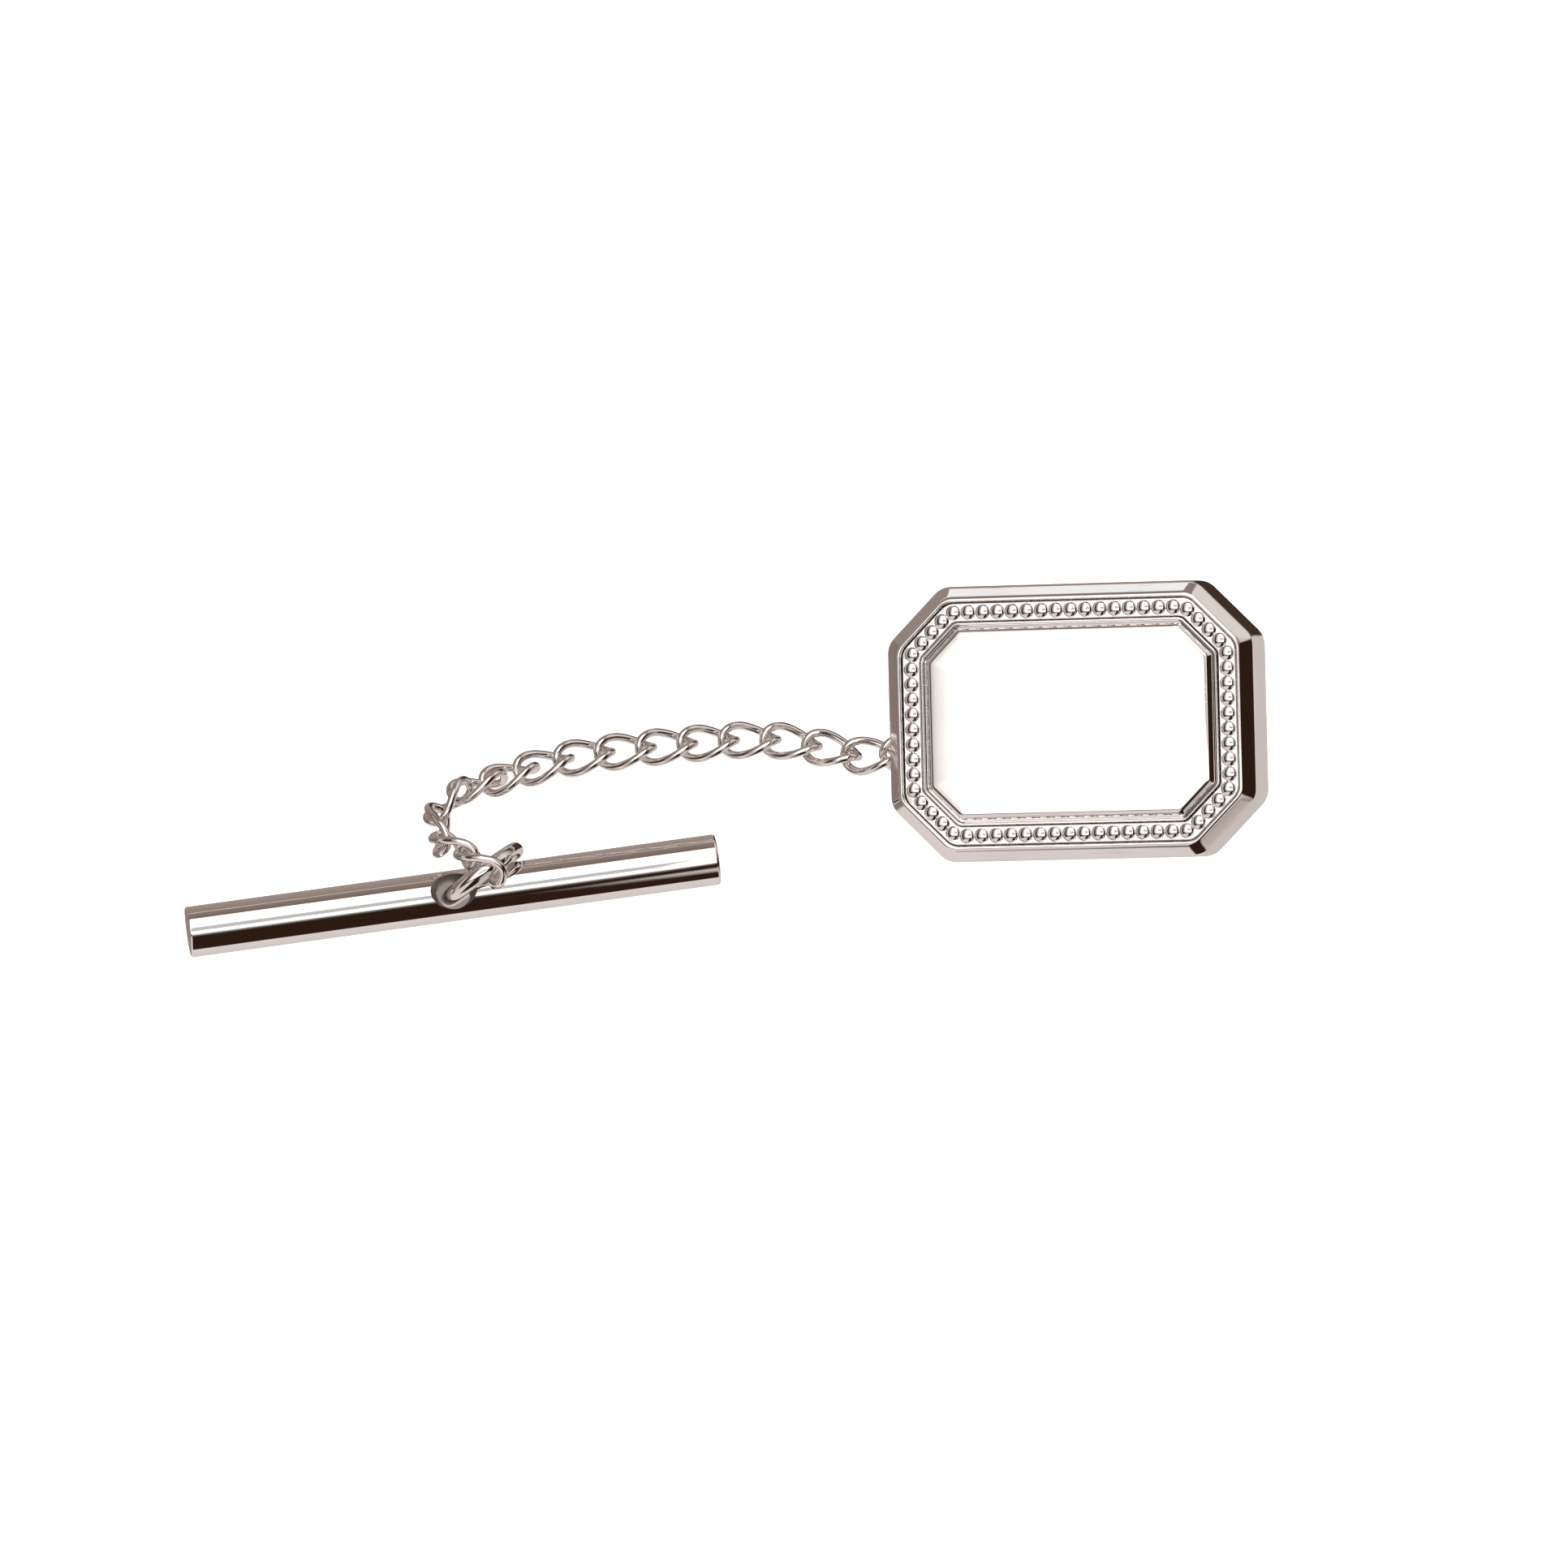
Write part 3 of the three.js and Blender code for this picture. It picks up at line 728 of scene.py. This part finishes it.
def link_path(steps=96):
    path = []
    power = 2 / LINK_ROUNDNESS
    for i in range(steps):
        angle = 2 * math.pi * i / steps
        cosine, sine = math.cos(angle), math.sin(angle)
        x = LINK_HALF_LENGTH * math.copysign(abs(cosine) ** power, cosine)
        y = LINK_HALF_WIDTH * math.copysign(abs(sine) ** power, sine)
        twist = LINK_TWIST * x / LINK_HALF_LENGTH
        path.append((x, y * math.cos(twist), y * math.sin(twist)))
    return path


def chain():
    shape = tube(link_path(), LINK_WIRE / 2, 20)
    for node in sorted(n for n in frame["nodes"] if n.startswith("chain_link")):
        link = smooth(mesh_object(node + "_fine", shape, own_frame(node)), 60)
        dress(link, WIRE, PLATE_SLOT, body_of_node[node], node)


def wire_ring(node, radius, wire):
    shape = tube(circle(radius, 128), wire / 2, 32)
    ring = smooth(mesh_object(node + "_fine", shape, own_frame(node)), 60)
    dress(ring, WIRE, PLATE_SLOT, body_of_node[node], node)


def cross_drill(place):
    """Tool that cuts the bar's cross hole and its two countersinks."""
    sink = BAR_RADIUS - BAR_SINK_DEPTH
    reach = BAR_RADIUS + BAR_OVERCUT
    profile = filleted([
        (0, -reach),
        (BAR_SINK_RADIUS + SINK_FLARE, -reach, 0),
        (BAR_SINK_RADIUS, -BAR_RADIUS, 0),
        (BAR_HOLE_RADIUS, -sink, 0.12),
        (BAR_HOLE_RADIUS, sink, 0.12),
        (BAR_SINK_RADIUS, BAR_RADIUS, 0),
        (BAR_SINK_RADIUS + SINK_FLARE, reach, 0),
        (0, reach),
    ], 0.1, closed=False)
    return mesh_object("drill", tipped(turned(profile, 96), -90, "X"), place)


def dull_and_shade_hole(bar):
    """The faces of the cross hole and its countersinks, in a duller, rougher metal than the rest, its
    darker colour painted shade for the hole's walls.
    """
    bar.data.materials.append(HOLE_SHADE_METAL)
    for face in bar.data.polygons:
        spot = face.center / MM
        depth = BAR_RADIUS - math.hypot(spot.y, spot.z)
        face.material_index = int(abs(spot.x) < BAR_SINK_RADIUS and depth > HOLE_SHADE_DEPTH)


def t_bar():
    half = BAR_LENGTH / 2
    profile = filleted([
        (0, -half), (BAR_RADIUS, -half, BAR_END_ROUND), (BAR_RADIUS, half, BAR_END_ROUND), (0, half),
    ], 0, closed=False)
    place = own_frame("t_bar")
    bar = mesh_object("t_bar_fine", tipped(turned(profile, 192), 90, "Y"), place)
    bar = smooth(combined(bar, cross_drill(place), "DIFFERENCE"))
    dress(bar, ROD, PLATE_SLOT, body_of_node["t_bar"], "t_bar")
    dull_and_shade_hole(bar)


face_frame()
face_panel()
bead_border()
back_plate()
pin()
clutch_base()
clutch_cage()
clutch_wing("clutch_wing_right_fine", "wing_right", "clutch_wing_right", TACK)
clutch_wing(
    "clutch_wing_left_fine", "wing_left", "clutch_wing_left",
    TACK @ Matrix.Rotation(math.pi, 4, "Z"),
)
chain()
wire_ring("clutch_ring", *CLUTCH_RING)
wire_ring("bar_ring", *BAR_RING)
t_bar()

# ---------------------------------------------------------------- studio


def ramp(tree, value, stops):
    """Colour socket that follows value through (place, colour) stops."""
    low, high = stops[0][0], stops[-1][0]
    scale = tree.nodes.new("ShaderNodeMapRange")
    scale.inputs["From Min"].default_value = low
    scale.inputs["From Max"].default_value = high
    tree.links.new(value, scale.inputs["Value"])
    colors = tree.nodes.new("ShaderNodeValToRGB")
    elements = colors.color_ramp.elements
    while len(elements) < len(stops):
        elements.new(0.5)
    for element, (place, color) in zip(elements, stops):
        element.position = (place - low) / (high - low)
        element.color = (*color, 1)
    tree.links.new(scale.outputs["Result"], colors.inputs["Fac"])
    return colors.outputs["Color"]


def glow(name, strength, color=WHITE, **shades):
    """Light-giving material: plain, or shaded along X or Y by (metres, colour) stops."""
    material = bpy.data.materials.new(name)
    material.use_nodes = True
    tree = material.node_tree
    tree.nodes.clear()
    emission = tree.nodes.new("ShaderNodeEmission")
    emission.inputs["Strength"].default_value = strength
    emission.inputs["Color"].default_value = color + (1,)
    output = tree.nodes.new("ShaderNodeOutputMaterial")
    tree.links.new(emission.outputs["Emission"], output.inputs["Surface"])
    for axis, stops in shades.items():
        place = tree.nodes.new("ShaderNodeTexCoord").outputs["Object"]
        parts = tree.nodes.new("ShaderNodeSeparateXYZ")
        tree.links.new(place, parts.inputs["Vector"])
        mix = tree.nodes.new("ShaderNodeMixRGB")
        mix.blend_type = "MULTIPLY"
        mix.inputs["Fac"].default_value = 1.0
        mix.inputs["Color1"].default_value = color + (1,)
        if emission.inputs["Color"].is_linked:
            tree.links.new(emission.inputs["Color"].links[0].from_socket, mix.inputs["Color1"])
        tree.links.new(ramp(tree, parts.outputs[axis], stops), mix.inputs["Color2"])
        tree.links.new(mix.outputs["Color"], emission.inputs["Color"])
    return material


def staged(name, verts, faces, material, camera=False, glossy=True, diffuse=True):
    """Piece of the studio, in metres; it casts no shadow."""
    mesh = bpy.data.meshes.new(name)
    mesh.from_pydata(verts, [], faces)
    obj = bpy.data.objects.new(name, mesh)
    bpy.context.scene.collection.objects.link(obj)
    obj.data.materials.append(material)
    obj.visible_camera = camera
    obj.visible_glossy = glossy
    obj.visible_diffuse = diffuse
    obj.visible_shadow = False


def level(x, y, z):
    """Vertices and face of a level rectangle."""
    return [(x[0], y[0], z), (x[1], y[0], z), (x[1], y[1], z), (x[0], y[1], z)], [(0, 1, 2, 3)]


def at(degrees):
    """How far out a direction, in degrees from straight up, meets the softbox."""
    return math.tan(math.radians(degrees)) * SOFTBOX_HEIGHT


def softbox():
    """One wide light overhead that fades out to the left and the front."""
    across, along = (
        [(at(angle), tuple(c * shade for c in WARM)) for angle, shade in shades]
        for shades in (SOFTBOX_ACROSS, SOFTBOX_ALONG)
    )
    verts, faces = level(
        (across[0][0], across[-1][0]), (along[0][0], along[-1][0]), SOFTBOX_HEIGHT,
    )
    staged("softbox", verts, faces, glow("softbox_light", SOFTBOX_STRENGTH, X=across, Y=along))


def seam():
    """Dim strip under the softbox."""
    verts, faces = level(
        [at(angle) for angle in SEAM_ACROSS], [at(angle) for angle in SEAM_ALONG],
        SOFTBOX_HEIGHT - MM,
    )
    staged("seam", verts, faces, glow("seam_light", SEAM_STRENGTH), diffuse=False)


def floor():
    """White table, clear from below; the metal shows the room's own shades in its place."""
    white = bpy.data.materials.new("floor_white")
    white.use_nodes = True
    tree = white.node_tree
    shader = tree.nodes["Principled BSDF"]
    shader.inputs["Base Color"].default_value = (0.9, 0.9, 0.9, 1)
    shader.inputs["Roughness"].default_value = 0.9
    shader.inputs["Emission Color"].default_value = WHITE + (1,)
    shader.inputs["Emission Strength"].default_value = 1.0
    mix = tree.nodes.new("ShaderNodeMixShader")
    below = tree.nodes.new("ShaderNodeNewGeometry").outputs["Backfacing"]
    tree.links.new(below, mix.inputs["Fac"])
    tree.links.new(shader.outputs["BSDF"], mix.inputs[1])
    tree.links.new(tree.nodes.new("ShaderNodeBsdfTransparent").outputs["BSDF"], mix.inputs[2])
    tree.links.new(mix.outputs["Shader"], tree.nodes["Material Output"].inputs["Surface"])
    verts, faces = level((-ROOM, ROOM), (-ROOM, ROOM), 0)
    staged("floor", verts, faces, white, camera=True, glossy=False)


def shade():
    """Shaded spot on the table, seen through the bar's cross hole."""
    middle = own_frame("t_bar").translation
    verts = [
        (middle.x + x * SHADE_RADIUS, middle.y + y * SHADE_RADIUS, SHADE_HEIGHT)
        for x, y, _ in circle(1, SHADE_SIDES)
    ]
    face = tuple(range(SHADE_SIDES))
    spot = glow("table_shade", 1.0, SHADE_COLOR)
    staged("shade", verts, [face], spot, camera=True, glossy=False, diffuse=False)


def bounce():
    """Bright stretch of the table far behind, seen only in the metal."""
    verts, faces = level(BOUNCE_X, BOUNCE_Y, BOUNCE_HEIGHT)
    staged("bounce", verts, faces, glow("bounce_white", BOUNCE_STRENGTH), diffuse=False)


def backdrop():
    """White room all round, seen only by the camera."""
    steps = 32
    ball = [
        (ROOM * math.sin(math.pi * i / steps), -ROOM * math.cos(math.pi * i / steps))
        for i in range(1, steps)
    ]
    verts, faces = turned([(0, -ROOM), *ball, (0, ROOM)], 64)
    staged("backdrop", verts, faces, glow("backdrop_white", 1.0),
           camera=True, glossy=False, diffuse=False)


def surroundings():
    """The room as the metal shows it: sectors round the horizon, shaded from floor to ceiling."""
    world = bpy.data.worlds.new("room")
    bpy.context.scene.world = world
    world.use_nodes = True
    tree = world.node_tree
    direction = tree.nodes.new("ShaderNodeTexCoord").outputs["Generated"]
    azimuth = tree.nodes.new("ShaderNodeTexGradient")
    azimuth.gradient_type = "RADIAL"
    tree.links.new(direction, azimuth.inputs["Vector"])
    parts = tree.nodes.new("ShaderNodeSeparateXYZ")
    tree.links.new(direction, parts.inputs["Vector"])
    color = ramp(tree, parts.outputs["Z"], LEFT_SIDE)
    for start, stops in SECTORS:
        edges = ((0, BLACK), (start - SECTOR_EDGE, BLACK), (start + SECTOR_EDGE, WHITE), (360, WHITE))
        mask = ramp(tree, azimuth.outputs["Fac"], [(place / 360, shade) for place, shade in edges])
        mix = tree.nodes.new("ShaderNodeMixRGB")
        tree.links.new(mask, mix.inputs["Fac"])
        tree.links.new(color, mix.inputs["Color1"])
        tree.links.new(ramp(tree, parts.outputs["Z"], stops), mix.inputs["Color2"])
        color = mix.outputs["Color"]
    tree.links.new(color, tree.nodes["Background"].inputs["Color"])


def camera():
    """Straight above the middle of the picture, through a long lens."""
    data = bpy.data.cameras.new("camera")
    cam = bpy.data.objects.new("camera", data)
    bpy.context.scene.collection.objects.link(cam)
    data.sensor_width = SENSOR_WIDTH
    data.lens = SENSOR_WIDTH * CAMERA_DISTANCE / VIEW_WIDTH
    data.clip_start = 0.01
    data.clip_end = 10
    cam.location = Vector(CAMERA_TARGET) + Vector((0, 0, CAMERA_DISTANCE))
    bpy.context.scene.camera = cam


softbox()
seam()
floor()
shade()
bounce()
backdrop()
surroundings()
camera()
bpy.context.scene.view_settings.view_transform = "Standard"
